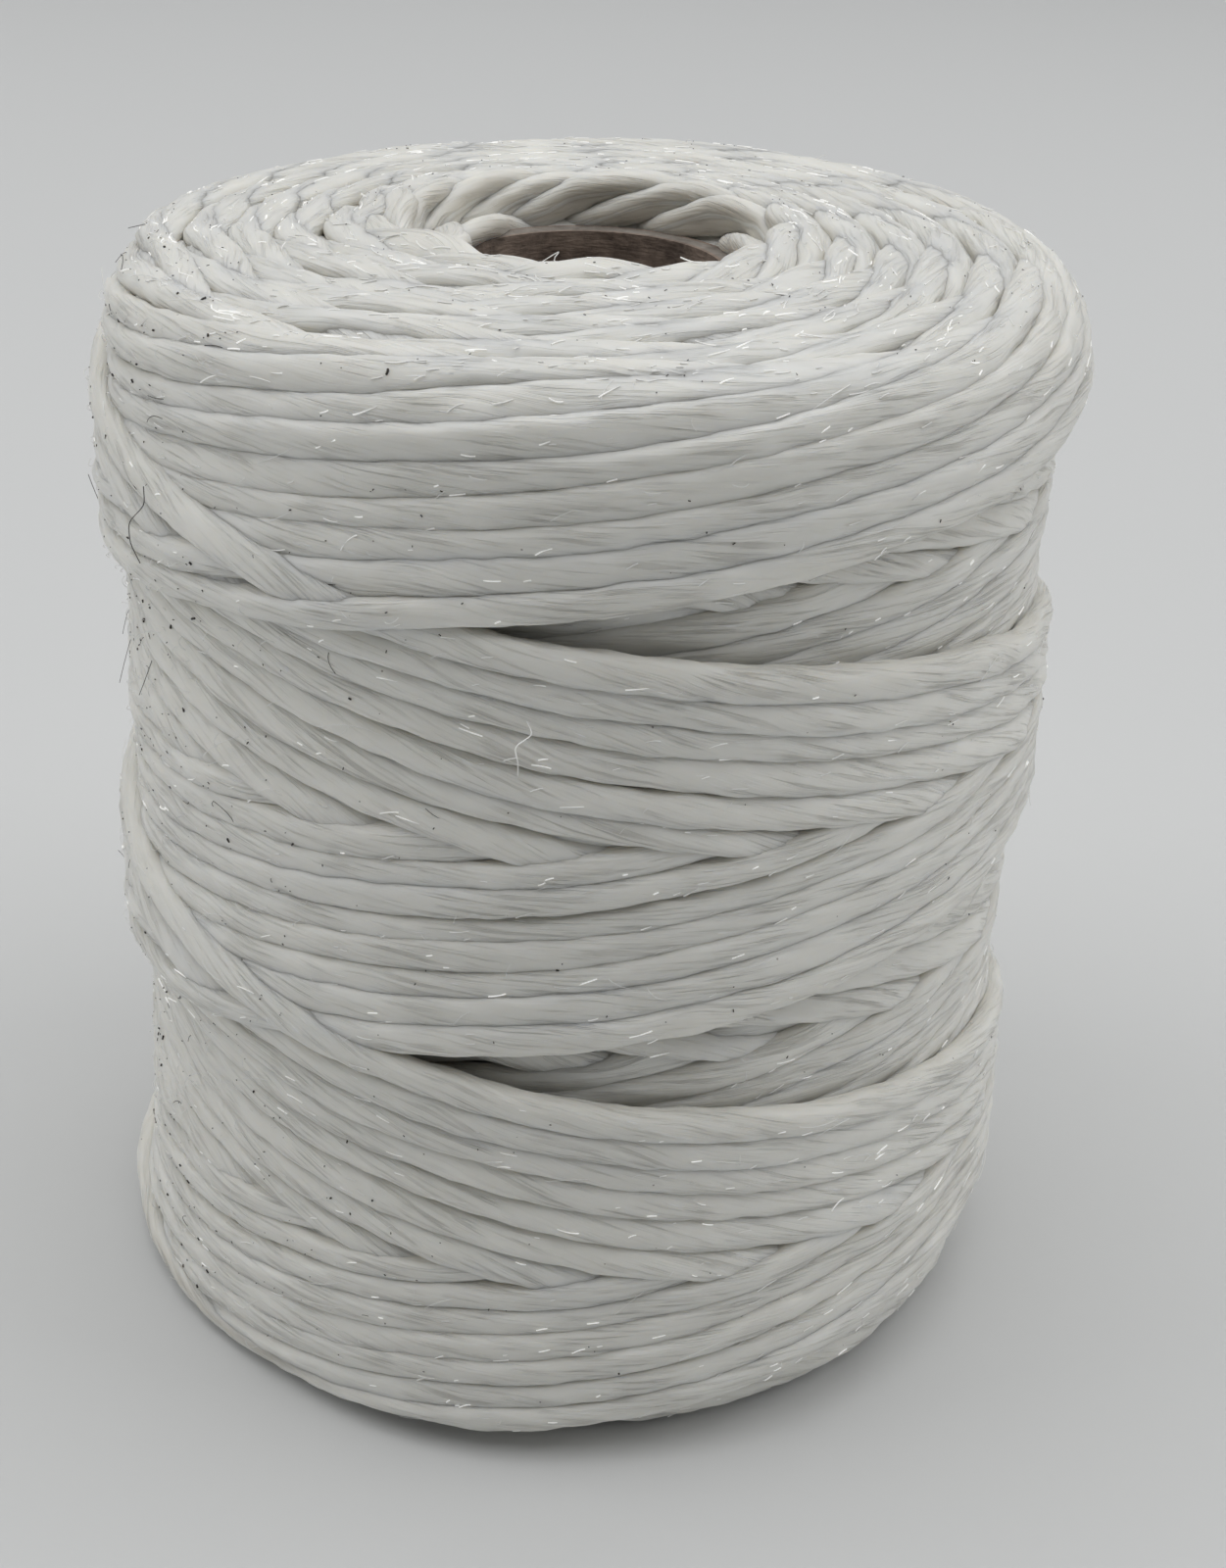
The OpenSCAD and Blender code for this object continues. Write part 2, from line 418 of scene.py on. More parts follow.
def bridge(values, reach=16, sag=0.004):
    out = values.copy()
    for k in range(1, reach + 1):
        out[k:] = np.maximum(out[k:], values[:-k] - sag * k * k)
        out[:-k] = np.maximum(out[:-k], values[k:] - sag * k * k)
    return out


print("a step between two heights becomes", [round(float(v), 2) for v in smooth(np.arange(6) // 3, 1)])

# %% [markdown]
# The guide moves at a constant speed and reverses softly. On a real winder no two turn-rounds are quite
# alike: some stop a little short, and everywhere the strand strays by a tenth of a millimetre. Fixed
# seeds give the same spool each time.

# %% Path of the guide
SOFT_TURN = 32.0                  # steps over which the guide reverses
SHORT_TURN = -0.35, 0.6           # a turn-round stops this far short of the end, mm
SHORT_FADE = 7.0                  # mm from the end within which a short stop is felt
WANDER, WANDER_REACH = 0.13, 26   # how far the strand strays, mm, and over how many steps
WANDER_FADE = 6.0                 # mm from the end within which it strays less
WANDER_AT_END = 0.15              # share of the straying that is left there

chance = np.random.default_rng(5)
step = np.arange(steps + BLEND)
rising = step % DOUBLE >= DOWN    # the last stroke rises
stroke_length = np.where(rising, UP, DOWN)
phase = step % DOUBLE - np.where(rising, DOWN, 0)
to_end = np.minimum(phase, stroke_length - phase)
climb = np.hypot(to_end, SOFT_TURN) - SOFT_TURN
climb *= TRAVEL / (np.hypot(stroke_length / 2, SOFT_TURN) - SOFT_TURN)
guide = np.where(phase < stroke_length / 2, climb - TRAVEL, TRAVEL - climb) * np.where(rising, 1, -1)
after_top = np.where(rising, phase - UP, phase)   # steps since the turn-round at the top
after_bottom = np.where(rising, phase, phase - DOWN)
nearest_turn = np.searchsorted(starts, step, "right") - 1 + (phase > stroke_length / 2)
short = chance.uniform(*SHORT_TURN, nearest_turn.max() + 1)[nearest_turn]
guide = guide - np.sign(guide) * short * np.clip(1 - (TRAVEL - abs(guide)) / SHORT_FADE, 0, 1)
stray = smooth(chance.normal(size=len(step)), WANDER_REACH)
calmer = np.clip((TRAVEL - abs(guide)) / WANDER_FADE, WANDER_AT_END, 1)
guide = guide + WANDER * stray / stray.std() * calmer
angle_step = round(LAST_START / 360 * TURN) + starts[-1] - step
angle_cell = angle_step % TURN
print(f"the guide moves between {guide.min():.1f} and {guide.max():.1f} mm")

# %% [markdown]
# At every step the strand asks how high the pile is under its left, middle and right third. Half of the
# answer is the highest cell there and half is the mean, because a soft strand beds in a little.

# %% What the strand finds under it
THIRDS = (-1, -0.3), (-0.45, 0.45), (0.3, 1)      # shares of the half width
BELOW_ALL = -9                    # stands for a cell that the strand doesn't touch, mm
REST_REACH = 2.0                  # steps over which a support is felt


def touched(travel):
    """The map columns under a strand at these travels, and each column's distance from its middle."""
    column = np.round(travel / COLUMN).astype(int)[:, None] + FOOT
    return COLUMNS // 2 + column, column * COLUMN - travel[:, None]


def own_height(offset):
    """Height of the strand's rounded section at this distance from its middle."""
    return PILE_T * np.sqrt(np.clip(1 - abs(offset / HALF_W) ** SQUARENESS, 0, 1))


def supports(cells, travel):
    columns, offset = touched(travel)
    under = pile[cells[:, None], columns]
    thirds = []
    for low, high in THIRDS:
        inside = (offset >= low * HALF_W) & (offset <= high * HALF_W)
        peak = np.where(inside, under, BELOW_ALL).max(1)
        mean = (under * inside).sum(1) / inside.sum(1)
        thirds.append(smooth(bridge(0.5 * peak + 0.5 * mean), REST_REACH))
    return thirds


pile = np.zeros((TURN, COLUMNS))
print("empty map:", pile.shape, "cells")

# %% [markdown]
# Laying the thread is then simple. The strand slides a little towards its lower side, leans with the
# slope, and rests on its middle or on its two sides, whichever is higher. Its own rounded section is
# added to the pile, and the next strand finds it. One stroke is laid at a time, and each fades in from
# the end of the one before.

# %% Lay the thread stroke by stroke
SLIDE, SLIDE_LIMIT = 0.35, 0.3    # mm sideways for each mm of slope, and the most, mm
SLIDE_REACH, LEAN_REACH = 10, 3   # steps over which a strand slides and leans
LEAN_LIMIT = 0.3                  # steepest lean, as rise over run
LEAN_BASE = 1.2 * HALF_W          # from the middle of the left third to that of the right, mm
BODY_STROKE = 34                  # counted from the last: with it the body, made further down, stops

travel, base, tilt = guide.copy(), np.zeros(len(step)), np.zeros(len(step))
fade = np.arange(BLEND) / BLEND
before = None
for stroke in range(strokes):
    first, last = starts[stroke], (starts + [steps])[stroke + 1]
    part = slice(first, last + BLEND)
    left, _, far = supports(angle_cell[part], guide[part])
    slide = smooth(np.clip(-SLIDE * (far - left), -SLIDE_LIMIT, SLIDE_LIMIT), SLIDE_REACH)
    if before:
        slide[:BLEND] = before[0] * (1 - fade) + slide[:BLEND] * fade
    travel[part] = guide[part] + slide
    left, middle, far = supports(angle_cell[part], travel[part])
    lean = smooth(np.clip((far - left) / LEAN_BASE, -LEAN_LIMIT, LEAN_LIMIT), LEAN_REACH)
    rest = np.maximum(middle, (left + far) / 2)
    if before:
        lean[:BLEND] = before[1] * (1 - fade) + lean[:BLEND] * fade
        rest[:BLEND] = before[2] * (1 - fade) + rest[:BLEND] * fade
    base[part], tilt[part] = rest, lean
    before = slide[-BLEND:], lean[-BLEND:], rest[-BLEND:]
    columns, offset = touched(travel[first:last])
    spot = angle_cell[first:last, None], columns
    top = base[first:last, None] + tilt[first:last, None] * offset + own_height(offset)
    pile[spot] = np.where(abs(offset) <= HALF_W, np.maximum(pile[spot], top), pile[spot])
    if stroke == strokes - BODY_STROKE:
        body_pile = pile.copy()
print(f"pile up to {pile.max():.2f} mm")

# %% [markdown]
# The guide slows down where it reverses, so more thread lands there. On the spool it is pressed thinner
# by the turns on top of it. The pile is divided by how much faster it grew at each distance from an end,
# and stretched so that its middle reaches the package's radius.

# %% Even out the ends
MIDDLE_COLUMNS = 120              # columns each way from the middle that give the mean pile
THIN = steps // 4                 # the first quarter of the thread lies too thin to tell
from_end, SLICE = np.arange(0, 12, 0.25), 0.3     # mm from an end, and half the width of a slice
INNERMOST = -8                    # from this slice on the pile counts as the middle's

keep = slice(0, steps)
travel, base, tilt, angle_step, angle_cell = (a[keep] for a in (travel, base, tilt, angle_step, angle_cell))
since_turn = np.where(travel > 0, after_top[keep], after_bottom[keep])
middle_pile = pile[:, COLUMNS // 2 - MIDDLE_COLUMNS:COLUMNS // 2 + MIDDLE_COLUMNS].mean()
STRETCH = (PACKAGE_R - CORE_R) / middle_pile

order = np.arange(steps)
late = order > THIN
expected = np.polyval(np.polyfit(order[late], base[late], 1), order)
growth = []
for near in from_end:
    here = late & (abs(TRAVEL - abs(travel) - near) < SLICE)
    growth.append((base[here] / expected[here]).mean())
growth = smooth(np.array(growth), 2)
growth /= growth[INNERMOST:].mean()


def packing(travel):
    """How much faster than in the middle the pile grows at this travel."""
    return np.interp(TRAVEL - abs(travel), from_end, growth)


print(f"pile {middle_pile:.2f} mm, stretched by {STRETCH:.4f} to the package's radius")
print("growth from the end inwards:", [round(float(packing(TRAVEL - d)), 2) for d in (0, 1, 2, 3, 5, 8)])

# %% [markdown]
# ## From the map to the spool
#
# On the map every layer is flat. On the spool each layer is a shell of its own radius, and its two ends
# lean inwards round a soft corner, because a strand that turns round there slips towards the middle. The
# shells near the core are longest, so the end faces are slightly crowned. The first shell turns round on
# the rims of the tube, the second lines the mouth, and from the third on the ends form the faces.

# %% Shells of the winding
GUIDE_MID = 43.3      # the guide's middle stands a little above the package's middle, mm
LAYER_MM = 3.62       # what one whole layer, once each way, adds to the radius
FIRST_MM = 0.5        # the first layer's middle lies this far outside the tube, mm
RIM_RISE = 1.6        # height over which the strands that line the mouth draw in above the rim
FLARE = 0.16          # how much of that they give back with each millimetre above it

# Whole layers laid so far, reach up and down from the guide's middle, lean of the end in degrees, radius
# of the upper and the lower corner, and how far the mouth draws a strand in. All lengths are in mm.
SHELLS = np.array([
    (0.00, 38.5, 38.9, 50.0, 2.4, 2.4, 1.1),
    (0.66, 38.5, 38.9, 50.0, 3.0, 3.0, 1.1),
    (0.70, 40.2, 41.4, 18.0, 2.0, 2.0, 1.9),
    (1.29, 40.4, 41.7, 26.0, 2.6, 2.6, 1.9),
    (1.49, 41.0, 42.2, 52.0, 4.0, 4.0, 0.9),
    (1.83, 41.1, 42.4, 62.0, 4.0, 3.8, 0.0),
    (6.50, 39.7, 42.2, 62.0, 4.0, 2.6, 0.0)]).T
LAYER, REACH_TOP, REACH_BOTTOM, LEAN, CORNER_TOP, CORNER_BOTTOM, LINES_MOUTH = SHELLS
LEAN = np.radians(LEAN)
print(len(LAYER), "shells, reach from", SHELLS[1:3].min(), "to", SHELLS[1:3].max(), "mm")

# %% [markdown]
# The next function takes an angle, a travel and a shell radius, and gives the place on the spool with its
# outward and lengthwise directions. All of it is plain geometry: a straight side, then an arc.

# %% Place on the spool
AXIS = np.array([0.0, 0.0, 1.0])
MOUTH_STEPS, MOUTH_SHARES = [-40, 60], [1, 0.1]   # a strand is drawn in until it has turned round


def on_spool(angle, travel, radius, layer, since_turn):
    upper = travel > 0
    sign = np.where(upper, 1.0, -1.0)
    half = np.where(upper, np.interp(layer, LAYER, REACH_TOP), np.interp(layer, LAYER, REACH_BOTTOM))
    corner = np.where(upper, np.interp(layer, LAYER, CORNER_TOP), np.interp(layer, LAYER, CORNER_BOTTOM))
    straight = half - corner * np.interp(layer, LAYER, LEAN)
    arc = abs(travel) * half / TRAVEL
    leaning = np.clip((arc - straight) / corner, 0, math.pi)
    r = radius - corner * (1 - np.cos(leaning))
    z = GUIDE_MID + sign * (np.minimum(arc, straight) + corner * np.sin(leaning))
    above_rim = np.where(upper, z - CORE_HIGH, CORE_LOW - z)
    past_rim = np.clip((above_rim + RIM_RISE) / (1.5 * RIM_RISE), 0, 1)
    drawn = np.interp(layer, LAYER, LINES_MOUTH) * np.interp(since_turn, MOUTH_STEPS, MOUTH_SHARES)
    r = r - drawn * (past_rim ** 2 * (3 - 2 * past_rim) - FLARE * np.maximum(above_rim, 0))
    ring = np.stack([np.sin(angle), -np.cos(angle), 0 * angle], -1)
    inward_lean = (sign * np.sin(leaning))[..., None]
    outward = ring * np.cos(leaning)[..., None] + AXIS * inward_lean
    lengthwise = AXIS * np.cos(leaning)[..., None] - ring * inward_lean
    return ring * r[..., None] + AXIS * z[..., None], outward, lengthwise


halfway = on_spool(np.zeros(1), np.zeros(1), np.full(1, PACKAGE_R), LAYER[-1], 0)[0][0]
print("front of the middle:", halfway.round(1), "mm")

# %% [markdown]
# Wax and tension press hills and hollows to a share of their height, and wax fills the hollows further.
# With that done, every step of the strand gets its centre, its direction, and the way its flat side faces.

# %% Press the layers and place the strand
SETTLE, SETTLE_AT_END = 0.34, 0.62    # share of the unevenness that is left
HOLLOW = 0.60         # of a hollow only this share of that is left
END_CALM = 7.0        # steps over which a strand evens out its height where it turns round
END_REACH, END_EASE = 9, 5    # mm from an end where this begins, and over which it grows
LOWEST = 0.45         # a strand on the bare tube still has this height, mm

near_end = np.clip((abs(travel) - (TRAVEL - END_REACH)) / END_EASE, 0, 1)
pressed = base / packing(travel)
calm = pressed * (1 - near_end) + smooth(pressed, END_CALM) * near_end
level = np.polyval(np.polyfit(order, pressed, 1), order)
share = SETTLE + (SETTLE_AT_END - SETTLE) * near_end
uneven = calm - level
settled = level + share * uneven * np.where(uneven < 0, HOLLOW, 1.0)
layer = order / DOUBLE * LAG / TURN      # whole layers laid so far
angle = angle_step * (2 * math.pi / TURN)
radius = CORE_R + STRETCH * np.maximum(settled + 0.5 * PILE_T / packing(travel), LOWEST)
centre, outward, lengthwise = on_spool(angle, travel, radius, layer, since_turn)
direction = np.gradient(centre, axis=0)
step_mm = np.linalg.norm(direction, axis=1)
direction /= step_mm[:, None]
normal = outward - tilt[:, None] * lengthwise
normal -= direction * (normal * direction).sum(1)[:, None]
normal /= np.linalg.norm(normal, axis=1)[:, None]
length_mm = np.concatenate([[0], np.cumsum(step_mm[1:])])
print(f"thread {length_mm[-1] / 1000:.1f} m, z {centre[:, 2].min():.2f} to {centre[:, 2].max():.2f} mm")

# %% [markdown]
# ## Only what shows
#
# Some seventy metres of thread lie on this spool, and two thirds of them are buried. A step of the strand
# is kept if its own top comes close to the top of the finished pile anywhere across its width, or if it
# lies in the last few millimetres before a turn, because the end faces show the edges of every layer.

# %% Choose the stretches that show
SHOW_DEPTH = 0.90     # a strand this far under the surface is still seen in the gaps, mm
SHOW_WIDTH = 0.95     # share of the strand's width in which it may show
END_ZONE = 4.5        # every turn-round is kept this far from the end, mm on the map
SPREAD = 18           # steps kept on either side of a shown one
SHORTEST = 9          # stretches with fewer steps than this are dropped
TUCKED = 150          # steps of the thread's first end, which lies under the next turns

columns, offset = touched(travel)
own_top = base[:, None] + tilt[:, None] * offset + own_height(offset)
final_top = pile[angle_cell[:, None], columns]
clear = (own_top >= final_top - SHOW_DEPTH) & (abs(offset) <= HALF_W * SHOW_WIDTH)
visible = clear.any(1) | (abs(travel) > TRAVEL - END_ZONE)
visible[:TUCKED] = False
padded = np.convolve(visible, np.ones(2 * SPREAD + 1), mode="same") > 0
edges = np.flatnonzero(np.diff(np.concatenate([[0], padded.astype(int), [0]])))
runs = [(a, b) for a, b in zip(edges[::2], edges[1::2]) if b - a >= SHORTEST + 2 * SPREAD]
print(f"{len(runs)} stretches, {sum(length_mm[b - 1] - length_mm[a] for a, b in runs) / 1000:.1f} m shown")

# %% [markdown]
# ## Geometry Nodes: sweep a flat strand along each stretch
#
# Each stretch enters as a line of mesh edges, and every point of it carries the direction that the flat
# side faces. The group turns the lines into curves, sweeps a rounded flat section along them, swells or
# narrows it where the thread does, and presses soft creases into it that run round the strand with its
# twist. Its settings are inputs, so a thinner or rounder thread needs only new numbers.

# %% Geometry Nodes group: the line of a flat strand
STRAND_W, STRAND_T = 2.58, 1.85   # width and thickness of the laid strand, mm
SETTINGS = (("Width", "Float", STRAND_W * MM), ("Thickness", "Float", STRAND_T * MM),
            ("Sides", "Int", 16), ("Squareness", "Float", SQUARENESS),
            ("Crease Depth", "Float", 0.08 * MM), ("Crease Turns per Metre", "Float", -50.0),
            ("Plies", "Float", 5.0))
strand, s_in, s_out = new_group(
    "flat_strand", "GeometryNodeTree",
    [("Geometry", "Geometry", None), *SETTINGS, ("Material", "Material", None)],
    [("Geometry", "Geometry", None)])


def stored(name, kind="FLOAT"):
    return put(strand, "GeometryNodeInputNamedAttribute", {"Name": name}, data_type=kind).outputs[0]


def vectors(operation, *values):
    return maths(strand, operation, *values, kind="ShaderNodeVectorMath")


def scaled(vector, factor):
    return put(strand, "ShaderNodeVectorMath", {0: vector, "Scale": factor}, operation="SCALE")


def position():
    return put(strand, "GeometryNodeInputPosition")


line = put(strand, "GeometryNodeMeshToCurve", {"Mesh": pick(s_in, "Geometry")})
line = put(strand, "GeometryNodeSetCurveNormal",
           {"Curve": line, "Normal": stored("facing", "FLOAT_VECTOR")}, mode="FREE")
line = put(strand, "GeometryNodeStoreNamedAttribute",
           {"Geometry": line, "Name": "middle", "Value": position()},
           data_type="FLOAT_VECTOR", domain="POINT")
print("line of the strand:", len(strand.nodes), "nodes")

# %% [markdown]
# The section is a circle bent to a rounded flat: each coordinate keeps its sign, its size is raised to a
# power, and the result is scaled to the strand's width and thickness. The turn round the circle is stored
# as `across` for the shader.

# %% Geometry Nodes group: the rounded flat section
ring = put(strand, "GeometryNodeCurvePrimitiveCircle",
           {"Resolution": pick(s_in, "Sides"), "Radius": 1.0}, mode="RADIUS")
place = put(strand, "ShaderNodeSeparateXYZ", {0: position()})
power = maths(strand, "DIVIDE", 2.0, pick(s_in, "Squareness"))


def flattened(value, size):
    grown = maths(strand, "POWER", maths(strand, "ABSOLUTE", value), power)
    return times(strand, times(strand, grown, maths(strand, "SIGN", value)), times(strand, size, 0.5))


around = maths(strand, "ARCTAN2", pick(place, "Y"), pick(place, "X"))
ring = put(strand, "GeometryNodeStoreNamedAttribute",
           {"Geometry": ring, "Name": "across", "Value": maths(strand, "DIVIDE", around, math.pi)},
           data_type="FLOAT", domain="POINT")
section = xyz(strand, flattened(pick(place, "X"), pick(s_in, "Thickness")),
              flattened(pick(place, "Y"), pick(s_in, "Width")), 0.0)
ring = put(strand, "GeometryNodeSetPosition", {"Geometry": ring, "Position": section})
tube = put(strand, "GeometryNodeCurveToMesh", {"Curve": line, "Profile Curve": ring, "Fill Caps": True})
print("with its section:", len(strand.nodes), "nodes")

# %% [markdown]
# On the swept tube each point's way from the strand's middle is split in two: how far it stands up and
# how far it lies sideways. Each part is scaled by what the line carries. A wave that winds round with the
# twist, and a soft noise, then press creases along the normal.

# %% Geometry Nodes group: swell and crease
WAVE, RIPPLE = 0.5, 3.2           # weight of the wave and of the noise in the creases
RIPPLE_ALONG, RIPPLE_ACROSS = 480.0, 2.2

middle = stored("middle", "FLOAT_VECTOR")
facing = stored("facing", "FLOAT_VECTOR")
from_middle = vectors("SUBTRACT", position(), middle)
upright = scaled(facing, pick(vectors("DOT_PRODUCT", from_middle, facing), "Value"))
sideways = vectors("SUBTRACT", from_middle, upright)
wound = add(strand, times(strand, stored("across"), 0.5),
            times(strand, stored("along"), pick(s_in, "Crease Turns per Metre")))
wave = maths(strand, "SINE", times(strand, wound, pick(s_in, "Plies"), 2 * math.pi))
ripple = noise(strand, xyz(strand, times(strand, stored("along"), RIPPLE_ALONG),
                           times(strand, stored("across"), RIPPLE_ACROSS), 0.0), detail=1.0)
press = add(strand, times(strand, wave, WAVE), times(strand, minus(strand, ripple, 0.5), RIPPLE))
press = times(strand, press, pick(s_in, "Crease Depth"))
swollen = vectors("ADD", scaled(sideways, stored("wide")), scaled(upright, stored("tall")))
tube = put(strand, "GeometryNodeSetPosition", {
    "Geometry": tube, "Position": vectors("ADD", middle, swollen),
    "Offset": scaled(put(strand, "GeometryNodeInputNormal"), press)})
print("with its creases:", len(strand.nodes), "nodes")

# %% [markdown]
# At its end the group smooths the shading, drops the attributes that only it needs, sets the material and
# realizes instances, so that the result is one plain mesh. The fibre group ends in the same way.

# %% Geometry Nodes group: end of the group
def close_group(tree, mesh, group_in, group_out, unneeded=()):
    mesh = put(tree, "GeometryNodeSetShadeSmooth", {"Geometry": mesh, "Shade Smooth": True})
    for name in unneeded:
        mesh = put(tree, "GeometryNodeRemoveAttribute", {"Geometry": mesh, "Name": name})
    mesh = put(tree, "GeometryNodeSetMaterial",
               {"Geometry": mesh, "Material": pick(group_in, "Material")})
    feed(tree, group_out.inputs[0], put(tree, "GeometryNodeRealizeInstances", {0: mesh}))
    print(tree.name, "has", len(tree.nodes), "nodes")


close_group(strand, tube, s_in, s_out, ("middle", "facing", "wide", "tall"))

# %% [markdown]
# ## The thread's own changes
#
# No thread is even. Its width changes slowly by some hundredths, with a finer change on top, and near the
# ends it is pressed thinner. Each stretch starts at its own place in the patterns of the material, so
# that no two look alike.

# %% Width and thickness along the thread
WIDTH_CHANGE, FINE_CHANGE = 0.09, 0.45   # share of the width, and share of that for the finer change
WIDTH_REACH, FINE_REACH = 30, 5          # steps over which they change
PRESS_POWER = -0.4                       # how the thickness follows the packing
RING, END_RING, NEAR_END = 0.75, 0.62, 5.0   # mm between sections, the same near an end, and how near

width_noise = smooth(chance.normal(size=steps), WIDTH_REACH)
fine_noise = smooth(chance.normal(size=steps), FINE_REACH)
width_noise = width_noise / width_noise.std() + FINE_CHANGE * fine_noise / fine_noise.std()
wide = 1 + WIDTH_CHANGE * np.clip(width_noise, -2, 2)
tall = packing(travel) ** PRESS_POWER
start_at = chance.uniform(0, 1000, len(runs))   # mm
ring_size = np.where(abs(travel) > TRAVEL - NEAR_END, END_RING, RING)
ring_count = np.floor(np.cumsum(step_mm / ring_size)).astype(int)
is_ring = np.concatenate([[True], np.diff(ring_count) > 0])
print(f"width {STRAND_W * wide.min():.2f} to {STRAND_W * wide.max():.2f} mm, {is_ring.sum()} sections")

# %% [markdown]
# A modifier's inputs are set by their identifiers before it runs. Its result is then taken as a plain
# mesh and the modifier goes, because later steps and the export want meshes.

# %% Run a group and keep its mesh
def run_group(obj, group, values):
    modifier = obj.modifiers.new(group.name, "NODES")
    modifier.node_group = group
    for item in group.interface.items_tree:
        if item.in_out == "INPUT" and item.name in values:
            modifier[item.identifier] = values[item.name]
    depsgraph = bpy.context.evaluated_depsgraph_get()
    mesh = bpy.data.meshes.new_from_object(obj.evaluated_get(depsgraph))
    obj.modifiers.clear()
    obj.data = mesh
    mesh.name = obj.name


strand_values = {label: value for label, _, value in SETTINGS} | {"Material": thread_mat}
print("flat_strand gets", strand_values)

# %% [markdown]
# The stretches of one piece become one mesh of edges. Its points carry what the group asks for: the way
# the flat side faces, the length of thread, and how wide and tall the strand is here.

# %% Lines through the stretches
def lines_object(name, stretches):
    points, links, where = [], [], []
    count = 0
    for number in stretches:
        a, b = runs[number]
        rings = a + np.flatnonzero(is_ring[a:b])
        if len(rings) < 4:
            continue
        points.append(rings)
        where.append(start_at[number] + length_mm[rings] - length_mm[a])
        links.append(np.stack([np.arange(len(rings) - 1), np.arange(1, len(rings))], 1) + count)
        count += len(rings)
    rows, where, links = np.concatenate(points), np.concatenate(where), np.concatenate(links)
    mesh = bpy.data.meshes.new(name)
    mesh.from_pydata((centre[rows] * MM).tolist(), links.tolist(), [])
    facing = mesh.attributes.new("facing", "FLOAT_VECTOR", "POINT")
    facing.data.foreach_set("vector", normal[rows].astype(np.float32).ravel())
    for key, values in (("along", where * MM), ("wide", wide[rows]), ("tall", tall[rows])):
        attribute = mesh.attributes.new(key, "FLOAT", "POINT")
        attribute.data.foreach_set("value", values.astype(np.float32))
    return add_object(name, mesh)


print("longest stretch:", round(max(length_mm[b - 1] - length_mm[a] for a, b in runs)), "mm")

# %% [markdown]
# The strands are sorted by where they show: those that reach the upper face, those that reach the base,
# and the rest. Each group is swept in batches, so that no piece grows too heavy to handle.

# %% Sort the stretches into pieces
RING_LIMIT = 5600    # sections in one piece: keeps a piece under 200,000 triangles

ring_total = np.cumsum(is_ring)
homes = {"side": [], "top": [], "bottom": []}
for number, (a, b) in enumerate(runs):
    near_top = (travel[a:b] > TRAVEL - 1).any()
    near_bottom = (travel[a:b] < 1 - TRAVEL).any()
    homes["top" if near_top else "bottom" if near_bottom else "side"].append(number)
batches = []
for home, numbers in homes.items():
    load, piece_no = RING_LIMIT, 0
    for number in numbers:
        size = ring_total[runs[number][1] - 1] - ring_total[runs[number][0]]
        load += size
        if load > RING_LIMIT:
            load, piece_no = size, piece_no + 1
            batches.append((home, f"thread_{home}_{piece_no}", []))
        batches[-1][2].append(number)
print(len(batches), "batches:", [(name, len(numbers)) for _, name, numbers in batches])

# %% [markdown]
# Now Blender sweeps the thread. Each piece rides on the spool's one body and takes the place of the
# measured solids that it dresses.

# %% Sweep the pieces of thread
covers = {"side": ["thread_side_turns", "thread_inner_layers"],
          "top": ["thread_top_turns", "thread_inner_layers"],
          "bottom": ["thread_bottom_turns", "thread_inner_layers"]}
for home, name, numbers in batches:
    piece = lines_object(name, numbers)
    run_group(piece, strand, strand_values)
    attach(piece, "root")
    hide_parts(*covers[home])
    print(f"  {name}: {len(piece.data.vertices)} vertices")

# %% [markdown]
# ## Stray filaments, fuzz and lint
#
# A waxed thread is never clean. Dark lint sticks to the wax as specks, clumps and hairs. Bare filaments
# glint, single ones work loose and arch along the strand, and short fuzz stands out at the edges. All of
# them are lines that start on the skin of a shown strand, and one small Geometry Nodes group gives every
# line a round section. Particle hair would be quicker to set up, but it leaves no mesh to export.

# %% Geometry Nodes group: fine fibre
fibre, fb_in, fb_out = new_group(
    "fine_fibre", "GeometryNodeTree",
    [("Geometry", "Geometry", None), ("Radius", "Float", 0.02 * MM), ("Sides", "Int", 5),
     ("Material", "Material", None)],
    [("Geometry", "Geometry", None)])
hair = put(fibre, "GeometryNodeMeshToCurve", {"Mesh": pick(fb_in, "Geometry")})
round_section = put(fibre, "GeometryNodeCurvePrimitiveCircle",
                    {"Resolution": pick(fb_in, "Sides"), "Radius": pick(fb_in, "Radius")}, mode="RADIUS")
hair = put(fibre, "GeometryNodeCurveToMesh",
           {"Curve": hair, "Profile Curve": round_section, "Fill Caps": True})
close_group(fibre, hair, fb_in, fb_out)


def hairs_object(name, points, links, radius, mat):
    """One piece made of all these lines."""
    mesh = bpy.data.meshes.new(name)
    mesh.from_pydata((np.array(points) * MM).tolist(), links, [])
    obj = add_object(name, mesh)
    run_group(obj, fibre, {"Radius": radius * MM, "Sides": 4, "Material": mat})
    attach(obj, "root")
    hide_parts("thread_side_turns", "thread_top_turns", "thread_inner_layers")
    print(f"  {name}: {len(obj.data.vertices)} vertices")


# %% [markdown]
# Fibres may only start where the strand is the topmost thing on the pile, or on the upper end face. Lint
# gathers on one side of a spool that stands on a bench, here on the left of its front.

# %% Places where fibres start
CUT_END = 9           # steps at the two ends of a stretch that lie hidden
DUSTY, DUSTY_WIDTH = -62, 30      # degrees round from the front, and the spread of the dusty side
TOPMOST = 0.05        # mm by which a strand may lie under the finished pile
FACE_ZONE, FACE_LAYER = 1.4, 1.2  # mm on the map from the upper turn-round, and layers from the core

